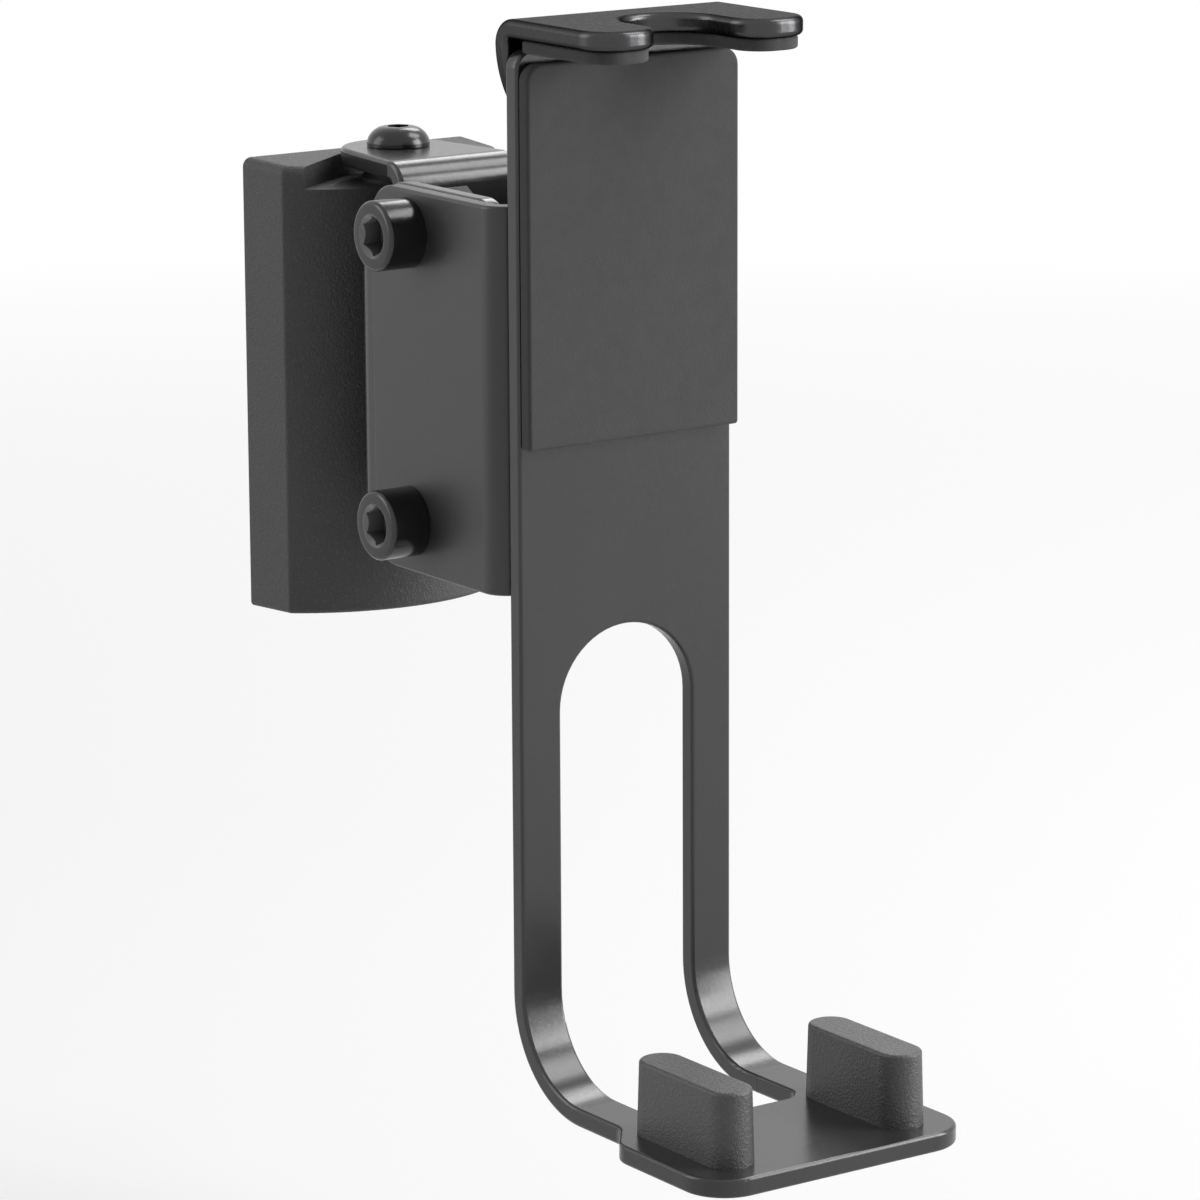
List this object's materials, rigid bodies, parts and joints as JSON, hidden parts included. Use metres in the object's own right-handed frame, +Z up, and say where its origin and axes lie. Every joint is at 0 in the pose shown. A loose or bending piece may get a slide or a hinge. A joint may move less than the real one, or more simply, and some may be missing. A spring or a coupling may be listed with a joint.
{
  "type": "speaker wall bracket",
  "caption": "Black steel and plastic wall bracket for a small speaker: a base with a swivel, a tilting channel, a padded back plate, a shelf with rubber prongs and a padded top hook.",
  "frame": {"origin": "middle of the wall base's back face", "axes": "+X right seen from the front, +Y into the wall, +Z up"},
  "size_m": [0.0518, 0.1209, 0.154],
  "materials": {
    "base_plastic": "fine moulded grain",
    "coated_steel": "satin powder coat",
    "black_screw": "glossy black",
    "zinc_steel": "zinc plated",
    "insert_brass": "turned",
    "washer_plastic": "smooth",
    "pad_foam": "matte foam",
    "prong_rubber": "matte with a fine grain"
  },
  "bodies": {
    "wall": {"wall_base": "base_plastic", "swivel_inserts": "insert_brass", "swivel_screws": "black_screw", "swivel_washer": "washer_plastic"},
    "swivel": {"swivel_bracket": "coated_steel", "pivot_screws": "black_screw", "pivot_nuts": "black_screw"},
    "tilt": {"tilt_channel": "coated_steel", "tilt_screws": "black_screw", "tilt_nuts": "black_screw", "main_plate": "coated_steel", "back_pad": "pad_foam", "prong_left": "prong_rubber", "prong_right": "prong_rubber", "prong_screws": "zinc_steel", "hook_screws": "black_screw", "hook_washers": "zinc_steel"},
    "hook": {"hook_plate": "coated_steel", "hook_pad": "pad_foam"}
  },
  "joints": [
    {"name": "swivel_turn", "type": "hinge", "parent": "wall", "child": "swivel", "pos_m": [0, -0.0116, 0], "axis": [0, 0, 1], "range_deg": [-30, 30]},
    {"name": "tilt_turn", "type": "hinge", "parent": "swivel", "child": "tilt", "pos_m": [0, -0.04427, -0.01328], "axis": [1, 0, 0], "range_deg": [0, 15]},
    {"name": "hook_rise", "type": "slide", "parent": "tilt", "child": "hook", "axis": [0, 0, 1], "range_m": [0, 0.006]}
  ]
}
